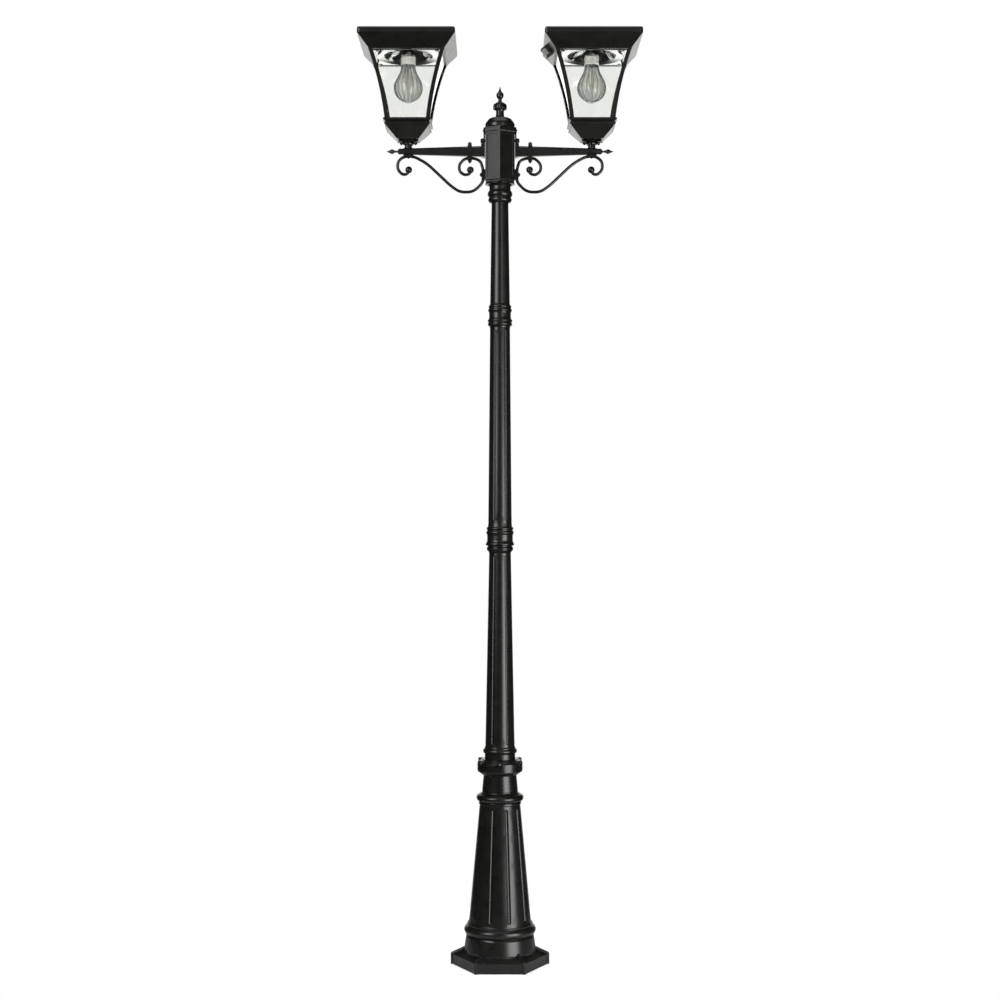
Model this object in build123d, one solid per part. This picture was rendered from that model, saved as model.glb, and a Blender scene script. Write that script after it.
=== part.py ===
from build123d import *
from math import cos, radians, tan
import os

# Solar street lamp post: a stacked cast post with two arms and a lantern on each arm.
# Millimetres. The origin is the middle of the base's underside, +Z is up, the arms run along X.

# ---------------------------------------------------------------- driving dimensions
# Base plinth
plinth_corner = 116.0       # centre to a corner of the hexagon
plinth_face = 24.0          # height of the upright faces
plinth_slope = 0.5          # rise of the sloped facets for each mm inwards
plinth_plate = 8.0          # thickness of the plate that is bolted down
plinth_wall = 7.0
plinth_rib = 4.5            # radius of the rounded ribs along the corners
anchor_circle = 130.0       # diameter of the bolt circle
anchor_count = 3
anchor_hole = 11.0          # hole diameter
skirt_foot = 176.0          # diameters
skirt_head = 163.0
skirt_height = 49.0         # from the top of the upright faces to the pedestal's seat
skirt_wall = 6.0

# Pedestal
pedestal_foot = 149.0
pedestal_head = 97.7
pedestal_height = 280.0     # fluted shaft, between the beads
pedestal_wall = 5.0
foot_bead = 170.0
foot_bead_height = 30.0
head_bead = 113.3
head_bead_height = 33.0
neck_foot = 86.4
neck_head = 79.2
neck_height = 38.0
pedestal_flutes = 10
pedestal_flute_width = 8.5
pedestal_flute_depth = 2.6
flute_margin = 6.0          # plain shaft left at each end of a flute

# Lock ring
ring_across = 109.0
ring_height = 38.0
ring_lugs = 6
lug_width = 13.0
lug_height = 12.0
lug_proud = 2.2
set_screw = 6.0             # diameter

# Poles
pole_wall = 3.2
pole_flutes = 6
pole_flute_width = 6.0
pole_flute_depth = 2.0
lower_foot = 73.2           # plain foot of the lower pole
lower_foot_height = 11.0
lower_bead = 81.8
lower_bead_height = 19.0
lower_pole_foot = 70.5
lower_pole_head = 52.3
lower_pole_length = 463.0
lower_spigot = 68.0         # part of the lower pole that stands inside the pedestal's neck
lower_spigot_length = 70.0
middle_pole_foot = 56.5
middle_pole_head = 48.0
middle_pole_length = 468.0
top_pole_foot = 47.5
top_pole_head = 40.5
top_pole_length = 241.0
lower_coupling_height = 72.0
upper_coupling_height = 58.0
collar_height = 48.0

# Joint sleeves inside the couplings
sleeve_across = 31.0
sleeve_wall = 3.0
sleeve_grip = 32.0          # length inside each pole
sleeve_flange = 37.0
sleeve_flange_height = 6.0
thread_gap = 0.15           # radial gap that stands for a thread
slip_gap = 0.25             # radial gap of pieces that slide together once

# Hub
hub_across = 72.0           # across the flats
hub_height = 133.0
hub_wall = 4.0
hub_border = 5.5            # frame left round each face panel
hub_recess = 1.6
cap_height = 23.0
finial_height = 75.6

# Arms, on both sides
arm_reach = 220.0           # post axis to lantern axis
arm_height = 76.0           # arm axis above the hub's underside
arm_root_tall = 25.0
arm_root_wide = 20.0
arm_tip_tall = 15.6
arm_tip_wide = 13.0
arm_end_length = 25.0       # past the lantern axis
arm_spear = 27.0
bracket_plate = 3.5
bracket_flange = 6.0
bracket_wide = 30.0
clip_height = 20.5          # middle of the lower clip above the hub's underside
bolt_height = 102.0         # bracket bolt above the hub's underside
bracket_bolt = 6.0
band_reach = 72.5           # post axis to the band clamp
band_wide = 10.4
band_wall = 2.6

# Scroll
scroll_rod = 7.2
scroll_ball = 8.3           # radius of the ball at each volute's end
scroll_drop = 97.0          # lowest point of the rod's axis below the arm's axis
scroll_gap = 0.3            # between the rod and the arm above it
boss_across = 24.0          # boss under the arm that holds the scroll
boss_drop = 9.3

# Lantern stem
stem_across = 18.5
stem_collar = 14.2          # visible height of the stem above the arm
stem_pin = 14.0             # diameter of the pin that the head turns on
stem_bolt = 10.0
stem_thread = 12.0          # length of thread in the arm
swivel_gap = 0.06           # radial running clearance

# Lantern
cup_across = 53.0
cup_drop = 6.0              # how far the petals hang below the stem's shoulder
cup_height = 4.5            # stem's shoulder to the hopper
hopper_foot = 52.0
hopper_head = 104.0
hopper_height = 28.5
hopper_wall = 3.0
frame_height = 16.0
frame_across = 114.0
frame_opening = 88.0
cage_foot = 108.0
cage_head = 180.0
cage_height = 157.0
cage_hollow = 4.5           # how far the corner bars bow inwards
cage_bar = 9.7
cage_wall = 3.0
ledge_height = 3.0
lip_height = 6.0
lip_wall = 2.5
lip_inset = 7.5             # cage's top edge to the lip
glass_thick = 2.5
glass_gap = 0.2

# Roof
roof_across = 230.0
roof_taper = 30.0
roof_rim = 14.0
roof_round = 7.0
roof_wall = 3.2
roof_seat_height = 6.0
lid_gap = 0.5               # between the cage's lip and the roof
panel_across = 200.0
panel_thick = 4.0

# Reflector, lamp and what the roof holds
reflector_thick = 2.0
reflector_margin = 15.0     # cage's top edge to the dish
reflector_bowl_share = 0.787  # bowl's diameter over the dish's
reflector_rise = 33.0       # depth of the bowl above the plate
boss_radius = 5.0
bulb_across = 70.0
bulb_length = 96.0          # glass, from its lowest point to its neck's end
bulb_wall = 1.2
bulb_neck = 34.4
bulb_collar = 15.0
bulb_cap = 26.0             # screw cap diameter
bulb_cap_length = 21.0
battery_across = 18.5
battery_length = 65.0

# Switch on one sloping side of each roof
switch_wide = 25.0
switch_tall = 24.0
switch_proud = 15.0
switch_travel = 2.5

# ---------------------------------------------------------------- levels, worked out
skirt_top = plinth_face + skirt_height
shaft_bottom = skirt_top + foot_bead_height
shaft_top = shaft_bottom + pedestal_height
neck_bottom = shaft_top + head_bead_height
neck_top = neck_bottom + neck_height
ring_top = neck_top + ring_height
lower_bottom = ring_top + lower_foot_height + lower_bead_height
lower_top = lower_bottom + lower_pole_length
middle_bottom = lower_top + lower_coupling_height
middle_top = middle_bottom + middle_pole_length
top_bottom = middle_top + upper_coupling_height
top_top = top_bottom + top_pole_length
hub_bottom = top_top + collar_height
hub_top = hub_bottom + hub_height
cap_top = hub_top + cap_height

arm_axis = hub_bottom + arm_height
arm_root = hub_across / 2 + bracket_plate + bracket_flange
stem_bottom = arm_axis + arm_tip_tall / 2
shoulder = stem_bottom + stem_collar
hopper_bottom = shoulder + cup_height
frame_bottom = hopper_bottom + hopper_height
cage_bottom = frame_bottom + frame_height
cage_top = cage_bottom + cage_height
seat_top = cage_top + roof_seat_height
rim_bottom = cage_top + roof_taper
roof_top = rim_bottom + roof_rim
panel_floor = roof_top - panel_thick
ceiling = panel_floor - roof_wall
reflector_dish = cage_head - 2 * reflector_margin
reflector_bowl = reflector_dish * reflector_bowl_share
boss_offset = cage_head / 2 - lip_inset - lip_wall - 2 * boss_radius
plate_level = cage_top - ledge_height + 0.5


# ---------------------------------------------------------------- shape helpers
def outline_face(points):
    """Face in the XZ plane between the Z axis and an outline that runs upwards.

    A point is (x, z), or (x, z, via_x, via_z) where an arc through the via point leads to it."""
    start = points[0]
    edges = [Line((0, 0, start[1]), (start[0], 0, start[1]))] if start[0] else []
    last = start[:2]
    for point in points[1:]:
        here, there = (last[0], 0, last[1]), (point[0], 0, point[1])
        if len(point) == 4:
            edges.append(ThreePointArc(here, (point[2], 0, point[3]), there))
        else:
            edges.append(Line(here, there))
        last = point[:2]
    if last[0]:
        edges.append(Line((last[0], 0, last[1]), (0, 0, last[1])))
    edges.append(Line((0, 0, last[1]), (0, 0, start[1])))
    return make_face(edges)


def turned(points):
    """Solid turned round the Z axis from an outline of (radius, height)."""
    return revolve(outline_face(points), Axis.Z)


def sided(points, sides=4, turn=0.0):
    """Solid with a regular plan whose faces follow an outline of (half width, height)."""
    half = outline_face(points)
    reach = 2 * max(point[0] for point in points)
    bar = extrude(half, reach, both=True)
    bar += Rot(0, 0, 180) * bar
    solid = bar
    for index in range(1, sides // 2):
        solid = solid & (Rot(0, 0, 360.0 * index / sides) * bar)
    return Rot(0, 0, turn) * solid


def box(low, high):
    """Box between two corners."""
    size = [high[axis] - low[axis] for axis in range(3)]
    middle = [(high[axis] + low[axis]) / 2 for axis in range(3)]
    return Pos(*middle) * Box(*size)


def rod(start, end, radius):
    """Round rod between two points."""
    run = Vector(*end) - Vector(*start)
    middle = (Vector(*start) + Vector(*end)) * 0.5
    return Plane(origin=middle, z_dir=run) * Cylinder(radius, run.length)


def capsule(start, end, radius):
    """Rod with a ball at each end."""
    return rod(start, end, radius) + Pos(*start) * Sphere(radius) + Pos(*end) * Sphere(radius)


def ring(items, count, first=0.0):
    """Copies of a shape, evenly spaced round the Z axis."""
    return [Rot(0, 0, first + 360.0 * index / count) * items for index in range(count)]


def flutes(low, high, width, depth, count, first):
    """Round-ended cutters on a tapered shaft; low and high are (radius, height)."""
    cutter = (width * width / 4 + depth * depth) / (2 * depth)
    margin = flute_margin + width / 2
    slope = (high[0] - low[0]) / (high[1] - low[1])
    ends = []
    for level in (low[1] + margin, high[1] - margin):
        radius = low[0] + slope * (level - low[1])
        ends.append((radius - depth + cutter, 0, level))
    return ring(capsule(ends[0], ends[1], cutter), count, first)


def cut(solid, tools):
    """Solid with each tool taken away."""
    for tool in tools:
        solid = solid - tool
    return solid


def join(shapes):
    """One node of several separate solids."""
    solids = []
    for shape in shapes:
        solids += shape.solids()
    return Compound(children=solids)


nodes = {}


# ---------------------------------------------------------------- plinth and pedestal
def make_plinth():
    """Six-sided casting with sloped facets, corner ribs and a round skirt."""
    flat = plinth_corner * cos(radians(30))
    skirt = skirt_foot / 2
    apex = flat - (skirt - plinth_wall)
    facets = [(flat, 0), (flat, plinth_face), (flat - apex, plinth_face + plinth_slope * apex)]
    body = sided(facets, 6, 90)
    foot = plinth_face + 2
    body += turned([
        (skirt + 3, foot),
        (skirt - 2, foot + 11, skirt - 1, foot + 4),
        (skirt_head / 2, skirt_top - 4),
        (skirt_head / 2 - 2.5, skirt_top)])
    corner = plinth_corner - plinth_rib / 2
    inner = skirt - 3
    rise = plinth_face + plinth_slope * (plinth_corner - inner) * cos(radians(30))
    rib = rod((corner, 0, 0), (corner, 0, plinth_face), plinth_rib)
    rib += capsule((corner, 0, plinth_face), (inner, 0, rise), plinth_rib)
    for copy in ring(rib, 6):
        body += copy
    well = skirt_head / 2 - skirt_wall
    body -= turned([(well, plinth_plate), (well, skirt_top)])
    pocket = flat - plinth_wall
    body -= sided([(pocket, plinth_plate), (pocket, plinth_face - plinth_wall + 4)], 6, 90)
    hole = rod((anchor_circle / 2, 0, -1), (anchor_circle / 2, 0, plinth_plate + 1), anchor_hole / 2)
    return cut(body, ring(hole, anchor_count, 90))


def make_pedestal():
    """Fluted tapered casting with a bead at each end and a plain neck."""
    bead = foot_bead / 2
    foot, head = pedestal_foot / 2, pedestal_head / 2
    top = head_bead / 2
    seat = skirt_head / 2 - 3
    body = turned([
        (seat, skirt_top),
        (foot + 3.5, skirt_top + foot_bead_height - 7, bead + 1, skirt_top + foot_bead_height / 2 - 2),
        (foot + 3.5, shaft_bottom - 5),
        (foot + 1, shaft_bottom - 3, foot + 4.2, shaft_bottom - 3.4),
        (foot, shaft_bottom),
        (head, shaft_top),
        (head + 2, shaft_top + 2),
        (head + 2, shaft_top + 6),
        (head + 0.5, shaft_top + 8),
        (head + 0.5, shaft_top + 25, top, shaft_top + 16.5),
        (neck_foot / 2 + 2, shaft_top + 28),
        (neck_foot / 2, neck_bottom, neck_foot / 2 + 0.5, shaft_top + 29),
        (neck_head / 2, neck_top)])
    body = cut(body, flutes((foot, shaft_bottom), (head, shaft_top), pedestal_flute_width,
                            pedestal_flute_depth, pedestal_flutes, 18 - 90))
    bore = lower_spigot / 2 + slip_gap
    wide = skirt_head / 2 - skirt_wall
    deep = pedestal_flute_depth + pedestal_wall
    return body - turned([
        (wide, skirt_top),
        (foot - deep, shaft_bottom),
        (head - deep, shaft_top - 4),
        (bore, neck_top - lower_spigot_length - 2),
        (bore, neck_top)])


def make_lock_ring():
    """Collar that clamps the lower pole on the pedestal's neck."""
    outer = ring_across / 2
    body = turned([
        (neck_head / 2 + 2.5, neck_top),
        (outer - 1, neck_top + 8.5),
        (outer, neck_top + 10.5),
        (outer, neck_top + 29),
        (outer - 1.5, neck_top + 31),
        (lower_foot / 2 + 6, ring_top)])
    lug_top = ring_top - 1
    lug = box((outer - 12, -lug_width / 2, lug_top - lug_height), (outer + lug_proud, lug_width / 2, lug_top))
    lug = fillet(lug.edges().filter_by(Axis.X), 2.5)
    for copy in ring(lug, ring_lugs, 30):
        body += copy
    body -= turned([(lower_spigot / 2 + slip_gap, neck_top), (lower_spigot / 2 + slip_gap, ring_top)])
    level = ring_top - 1 - lug_height / 2
    hole = rod((lower_spigot / 2 - 1, 0, level), (outer + lug_proud + 1, 0, level), set_screw / 2 + thread_gap)
    return cut(body, ring(hole, ring_lugs, 30))


def make_lock_screws():
    """Set screws with a hexagon socket, one in each lug."""
    level = ring_top - 1 - lug_height / 2
    tip = lower_spigot / 2
    head = ring_across / 2 + lug_proud - 0.6
    screw = rod((tip, 0, level), (head, 0, level), set_screw / 2)
    socket = Plane(origin=(head - 2, 0, level), z_dir=(1, 0, 0)) * extrude(RegularPolygon(1.7, 6), 4)
    return join(ring(screw - socket, ring_lugs, 30))


# ---------------------------------------------------------------- poles and couplings
def tube_bore(low, high, bottom, top):
    """Bore of a pole: it follows the taper, and both ends fit the joint sleeves."""
    bore = sleeve_across / 2 + thread_gap
    deep = pole_wall + pole_flute_depth
    wide_low, wide_high = max(bore, low - deep), max(bore, high - deep)
    grip = sleeve_grip + 4
    return turned([(bore, bottom), (bore, bottom + grip), (wide_low, bottom + grip + 4),
                   (wide_high, top - grip - 4), (bore, top - grip), (bore, top)])


def make_lower_pole():
    """Lowest pole: a spigot, a plain foot, a bead and a fluted shaft."""
    low, high = lower_pole_foot / 2, lower_pole_head / 2
    spigot_bottom = ring_top - lower_spigot_length
    bead_bottom = ring_top + lower_foot_height
    body = turned([
        (lower_spigot / 2, spigot_bottom),
        (lower_spigot / 2, ring_top),
        (lower_foot / 2, ring_top),
        (lower_foot / 2, bead_bottom),
        (lower_foot / 2, bead_bottom + 2),
        (lower_foot / 2 + 0.5, bead_bottom + 14, lower_bead / 2, bead_bottom + 8),
        (lower_foot / 2 + 0.5, lower_bottom - 3),
        (low, lower_bottom),
        (high, lower_top)])
    body = cut(body, flutes((low, lower_bottom), (high, lower_top), pole_flute_width,
                            pole_flute_depth, pole_flutes, 0))
    return body - tube_bore(low, high, spigot_bottom, lower_top)


def make_pole(foot, head, bottom, top, fluted):
    """Tapered pole between two couplings."""
    low, high = foot / 2, head / 2
    body = turned([(low, bottom), (high, top)])
    if fluted:
        body = cut(body, flutes((low, bottom), (high, top), pole_flute_width, pole_flute_depth,
                                pole_flutes, 0))
    return body - tube_bore(low, high, bottom, top)


def sleeve_bore(bottom, top):
    """Stepped bore of a coupling, with a shelf for the sleeve's flange."""
    small, large = sleeve_across / 2 + thread_gap, sleeve_flange / 2 + thread_gap
    shelf = top - sleeve_flange_height
    return turned([(small, bottom), (small, shelf), (large, shelf), (large, top)])


def sleeve(bottom, top, below, above):
    """Threaded tube through a coupling, hung by its flange."""
    small, large = sleeve_across / 2, sleeve_flange / 2
    body = turned([(small, bottom - below), (small, top - sleeve_flange_height),
                   (large, top - sleeve_flange_height), (large, top), (small, top), (small, top + above)])
    inner = small - sleeve_wall
    return body - turned([(inner, bottom - below), (inner, top + above)])


def make_lower_coupling():
    """Two ring groups with a hollow waist between them."""
    z = lower_top
    foot, head = lower_pole_head / 2, middle_pole_foot / 2
    body = turned([
        (foot + 0.4, z),
        (foot + 2.2, z + 4),
        (foot + 5.2, z + 9, foot + 4.6, z + 6),
        (foot + 3.2, z + 15, foot + 5.8, z + 12.5),
        (foot + 3.2, z + 17),
        (foot + 7.2, z + 18),
        (foot + 6.6, z + 25, foot + 8, z + 22),
        (foot + 4.8, z + 31, foot + 5.2, z + 28),
        (foot + 4.8, z + 41),
        (foot + 6.2, z + 46, foot + 5.2, z + 44),
        (foot + 4.7, z + 53, foot + 7, z + 50),
        (foot + 4.7, z + 55),
        (foot + 3.2, z + 63, foot + 6, z + 59.5),
        (head + 0.4, z + 68),
        (head, z + lower_coupling_height)])
    return body - sleeve_bore(z, z + lower_coupling_height)


def make_upper_coupling():
    """Smaller ring groups between the middle and the top pole."""
    z = middle_top
    foot, head = middle_pole_head / 2, top_pole_foot / 2
    body = turned([
        (foot + 0.4, z),
        (foot + 1.2, z + 3),
        (foot + 3.8, z + 12, foot + 5.2, z + 7.5),
        (foot + 3.8, z + 13.5),
        (foot + 3.6, z + 20, foot + 5.8, z + 17),
        (foot + 2.2, z + 27, foot + 2.6, z + 23.5),
        (foot + 2.2, z + 34),
        (foot + 3.2, z + 38, foot + 2.4, z + 36),
        (foot + 2.6, z + 46, foot + 4.6, z + 42.5),
        (foot + 2.6, z + 48),
        (head + 1.2, z + 54, foot + 3.4, z + 51),
        (head, z + upper_coupling_height)])
    return body - sleeve_bore(z, z + upper_coupling_height)


def make_collar():
    """Ringed collar that flares out to carry the hub."""
    z = top_top
    foot = top_pole_head / 2
    lip = hub_across / 2
    body = turned([
        (foot + 2.5, z),
        (foot + 6.6, z + 3),
        (foot + 6.6, z + 12, foot + 8, z + 7.5),
        (foot + 6.2, z + 14),
        (foot + 6.2, z + 29, foot + 9.6, z + 21.5),
        (foot + 5.4, z + 32),
        (foot + 5.4, z + 39),
        (lip - 1, z + 44, foot + 8, z + 42),
        (lip, z + 45.5, lip, z + 44.4),
        (lip - 1.5, z + collar_height)])
    return body - sleeve_bore(z, z + collar_height)


def make_sleeves():
    """The three joint sleeves."""
    collar_top = top_top + collar_height
    return join([
        sleeve(lower_top, middle_bottom, sleeve_grip, sleeve_grip),
        sleeve(middle_top, top_bottom, sleeve_grip, sleeve_grip),
        sleeve(top_top, collar_top, sleeve_grip, hub_wall + 8)])


# ---------------------------------------------------------------- hub
def make_hub(scroll):
    """Hollow six-sided casting with framed faces; the two flats along X carry the scroll clips."""
    half = hub_across / 2
    body = sided([
        (half - 2.5, hub_bottom),
        (half - 2.5, hub_bottom + 3),
        (half - 0.8, hub_bottom + 5),
        (half - 0.8, hub_top - 14),
        (half, hub_top - 12),
        (half, hub_top - 2.5),
        (half - 2, hub_top)], 6)
    face = hub_across / 2 * tan(radians(30)) - hub_border
    low, high = hub_bottom + 5 + hub_border, hub_top - 14 - hub_border
    panel = box((half - 0.8 - hub_recess, -face, low), (half + 2, face, high))
    panel = fillet(panel.edges().filter_by(Axis.X), 2.0)
    panels = [Rot(0, 0, turn) * panel for turn in (60, 120, 240, 300)]
    body = cut(body, panels)
    inner = half - hub_recess - hub_wall
    body -= sided([(inner, hub_bottom + hub_wall + 2), (inner, hub_top)], 6)
    body -= turned([(sleeve_across / 2 + thread_gap, hub_bottom),
                    (sleeve_across / 2 + thread_gap, hub_bottom + hub_wall + 2)])
    level = hub_bottom + clip_height
    clip = box((half - 3, -8, level - 12.5), (half + 8.5, 8, level + 12.5))
    clip = fillet(clip.edges().filter_by(Axis.X), 3)
    knob = turned([(4.2, 0), (4.6, 1.5, 5.2, 0.8), (1.0, 4.2, 3.2, 3.4)])
    clip += Plane(origin=(half + 8.5, 0, level), z_dir=(1, 0, 0)) * knob
    clip -= scroll
    body += clip
    body += Rot(0, 0, 180) * clip
    level = hub_bottom + bolt_height
    hole = bracket_bolt / 2 + thread_gap
    return body - rod((-half - 1, 0, level), (half + 1, 0, level), hole)


def make_hub_cap():
    """Domed cap with a spigot that plugs the hub."""
    half = hub_across / 2
    spigot = half - hub_recess - hub_wall - slip_gap
    body = turned([
        (half - 0.5, hub_top),
        (half - 0.5, hub_top + 3),
        (half - 5, hub_top + 15, half - 1.4, hub_top + 10),
        (18, hub_top + cap_height, half - 10, hub_top + cap_height - 2.2)])
    body += sided([(spigot, hub_top - 6), (spigot, hub_top)], 6)
    return body - turned([(4 + thread_gap, hub_top - 6), (4 + thread_gap, cap_top)])


def make_finial():
    """Lobed crown, bud and spear tip on a threaded shank."""
    z = cap_top
    top = z + finial_height
    body = turned([
        (12, z),
        (12, z + 2.5, 12.7, z + 1.2),
        (9.8, z + 8, 10.2, z + 5),
        (9.4, z + 13),
        (12.2, z + 21, 10, z + 17.5),
        (13, z + 31, 13.8, z + 26),
        (8.4, z + 37.5, 11.6, z + 35.2),
        (4.4, z + 41.5, 5, z + 39.4),
        (4.2, z + 46),
        (8.7, z + 55.5, 7.6, z + 50),
        (5, top - 13.5, 7.9, z + 59.5),
        (1.2, top - 3, 2.6, top - 8),
        (0.6, top)])
    lobe = capsule((11.3, 0, z + 24), (10.9, 0, z + 30.5), 5.2)
    for copy in ring(lobe, 4):
        body += copy
    return body + turned([(4, hub_top - 6), (4, cap_top)])


# ---------------------------------------------------------------- arms, built on the +X side
def arm_half(reach, root, tip):
    """Half height or half width of the arm at a distance from the post's axis."""
    share = (reach - arm_root) / (arm_reach - arm_root)
    return (root + (tip - root) * share) / 2


def arm_section(reach, tall, wide, trim):
    """Eight-sided section of the arm at a distance from the post's axis."""
    frame = Plane(origin=(reach, 0, arm_axis), x_dir=(0, 1, 0), z_dir=(1, 0, 0))
    half_wide, half_tall = wide / 2, tall / 2
    corners = []
    for sx, sy in ((1, 1), (-1, 1), (-1, -1), (1, -1)):
        pair = [(sx * half_wide, sy * (half_tall - trim)), (sx * (half_wide - trim), sy * half_tall)]
        corners += pair if sx * sy > 0 else pair[::-1]
    return frame * make_face(Polyline(*corners, close=True))


def make_arm(scroll):
    """Tapered arm with an end block, a spear tip and a boss below that holds the scroll."""
    end = arm_reach + arm_end_length
    block = arm_tip_tall - 2.2
    body = loft([arm_section(arm_root, arm_root_tall, arm_root_wide, 4.5),
                 arm_section(arm_reach - 12, arm_tip_tall, arm_tip_wide, 3.2)])
    body += loft([arm_section(arm_reach - 12, arm_tip_tall, arm_tip_wide, 3.2),
                  arm_section(arm_reach + 12, arm_tip_tall, arm_tip_wide, 3.2)])
    body += loft([arm_section(arm_reach + 12, block, arm_tip_wide, 3.0),
                  arm_section(end - 3, block, arm_tip_wide - 1, 3.0)])
    body += loft([arm_section(end - 3, block, arm_tip_wide - 1, 3.0),
                  arm_section(end, block - 5, arm_tip_wide - 6, 2.0)])
    spear = turned([
        (3.4, 0),
        (2.4, 5, 2.2, 2.5),
        (3.0, 8.5),
        (5.6, 15, 5.3, 12),
        (1.2, arm_spear - 2.5),
        (0.5, arm_spear)])
    body += Plane(origin=(end, 0, arm_axis), z_dir=(1, 0, 0)) * spear
    under = arm_axis - arm_tip_tall / 2
    boss = boss_across / 2
    pendant = turned([(0.8, under - boss_drop), (4, under - boss_drop + 2.8), (boss - 3.5, under - 4.4),
                      (boss - 0.6, under - 3), (boss, under - 1.5), (boss, under)])
    keep = box((-boss, -arm_tip_wide / 2, under - 20), (boss, arm_tip_wide / 2, under))
    body += (Pos(arm_reach, 0, 0) * (pendant & keep)) - scroll
    hole = stem_bolt / 2 + thread_gap
    return body - rod((arm_reach, 0, stem_bottom - stem_thread), (arm_reach, 0, stem_bottom + 9), hole)


def scroll_points():
    """Corners of the scroll's path in XZ, from the outer volute to the inner one."""
    hub_side = hub_across / 2 + scroll_rod / 2
    hang = scroll_gap + scroll_rod / 2
    under_tip = arm_axis - arm_tip_tall / 2 - hang
    under_band = arm_axis - arm_half(band_reach, arm_root_tall, arm_tip_tall) - hang
    low = arm_axis - scroll_drop
    clip = hub_bottom + clip_height
    x, b = arm_reach, band_reach
    return [
        (x - 1.0, under_tip - 32.0), (x + 2.5, under_tip - 42.5), (x + 14.0, under_tip - 43.5),
        (x + 25.5, under_tip - 32.0), (x + 25.5, under_tip - 12.5), (x + 11.0, under_tip),
        (x - 14.0, under_tip), (x - 45.0, under_tip - 17.0),
        (b + 46.0, low + 15.0), (b + 24.0, low), (hub_side + 24.0, low), (hub_side, clip - 17.0),
        (hub_side, clip + 9.0), (hub_side + 7.0, under_band - 6.5),
        (b - 9.0, under_band), (b + 11.0, under_band), (b + 25.5, under_band - 15.0),
        (b + 25.0, under_band - 32.0), (b + 12.0, under_band - 41.0), (b - 1.0, under_band - 37.0),
        (b - 1.5, under_band - 28.0)]


def make_scroll():
    """Round rod bent into a long S with a ball at the end of each volute."""
    corners = [Vector(x, 0, z) for x, z in scroll_points()]
    radii = []
    for before, here, after in zip(corners, corners[1:], corners[2:]):
        turn = (here - before).get_angle(after - here)
        run = min((here - before).length, (after - here).length)
        radii.append(0.45 * run / tan(radians(turn / 2)))
    path = FilletPolyline(*corners, radius=radii)
    start = Plane(origin=path @ 0, z_dir=path % 0)
    body = sweep(start * Circle(scroll_rod / 2), path=path)
    return body + Pos(*corners[0]) * Sphere(scroll_ball) + Pos(*corners[-1]) * Sphere(scroll_ball)


def make_bracket():
    """Hub bracket: a plate with a rounded bead on top, and a flange that the arm sits on."""
    flat = hub_across / 2
    half = bracket_wide / 2
    top = hub_top - 1
    body = box((flat, -half, arm_axis - 15), (flat + bracket_plate, half, top))
    body = fillet(body.edges().filter_by(Axis.X), 4)
    body += box((flat, 3 - half, arm_axis - 13.5), (arm_root, half - 3, arm_axis + 18))
    bead = rod((flat + bracket_plate, 4 - half, top - 7), (flat + bracket_plate, half - 4, top - 7), 2)
    body += bead
    level = hub_bottom + bolt_height
    hole = bracket_bolt / 2 + thread_gap
    return body - rod((flat - 1, 0, level), (flat + bracket_plate + 1, 0, level), hole)


def make_bracket_bolts():
    """A ball-headed bolt and its nut for each bracket."""
    level = hub_bottom + bolt_height
    seat = hub_across / 2 + bracket_plate
    wall = hub_across / 2 - hub_recess - hub_wall
    head = turned([(6.2, 0), (6.2, 2), (5.2, 3), (1.5, 7.4, 4.6, 6.4)])
    bolt = rod((wall - 8, 0, level), (seat, 0, level), bracket_bolt / 2)
    bolt += Plane(origin=(seat, 0, level), z_dir=(1, 0, 0)) * head
    nut = Plane(origin=(wall - 5, 0, level), z_dir=(1, 0, 0)) * extrude(RegularPolygon(5.8, 6), 5)
    nut -= rod((wall - 6, 0, level), (wall + 1, 0, level), bracket_bolt / 2 + thread_gap)
    return join([bolt, nut, Rot(0, 0, 180) * bolt, Rot(0, 0, 180) * nut])


def make_band():
    """Band that ties the scroll to the arm, with a ball on top and a pointed end below."""
    half = band_wide / 2
    tall = 2 * arm_half(band_reach - half, arm_root_tall, arm_tip_tall) + 2 * swivel_gap
    wide = 2 * arm_half(band_reach - half, arm_root_wide, arm_tip_wide) + 2 * swivel_gap
    top = arm_axis + tall / 2 + band_wall
    slot = arm_axis - tall / 2 - scroll_gap - scroll_rod - 1
    low = slot - band_wall
    side = wide / 2 + band_wall
    body = box((band_reach - half, -side, low), (band_reach + half, side, top))
    body = fillet(body.edges().filter_by(Axis.X), 3)
    tunnel = arm_section(band_reach - half - 1, tall, wide, 4.0)
    body -= extrude(tunnel, band_wide + 2)
    body -= box((band_reach - half - 1, -scroll_rod / 2, slot), (band_reach + half + 1, scroll_rod / 2, arm_axis))
    ball = turned([(4, 0), (3.2, 1.7), (4.6, 4.2, 4.4, 2.8), (3.4, 7.4, 4.4, 6.2), (0.8, 8.7, 2.4, 8.3)])
    body += Pos(band_reach, 0, top - 0.5) * ball
    return body + Pos(band_reach, 0, low + 0.5) * Rot(180, 0, 0) * turned([(half - 0.2, 0), (0.8, 6)])


def make_stem():
    """Turned stem: thread in the arm, visible collar and the pin that the head turns on."""
    radius = stem_across / 2
    pin_top = hopper_bottom + hopper_wall
    return Pos(arm_reach, 0, 0) * turned([
        (stem_bolt / 2, stem_bottom - stem_thread),
        (stem_bolt / 2, stem_bottom),
        (radius, stem_bottom),
        (radius, stem_bottom + 3),
        (radius - 1, stem_bottom + 4),
        (radius - 1, shoulder - 3),
        (radius, shoulder - 2),
        (radius, shoulder),
        (stem_pin / 2, shoulder),
        (stem_pin / 2, pin_top + 0.3),
        (stem_bolt / 2, pin_top + 0.3),
        (stem_bolt / 2, pin_top + 11)])


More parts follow.
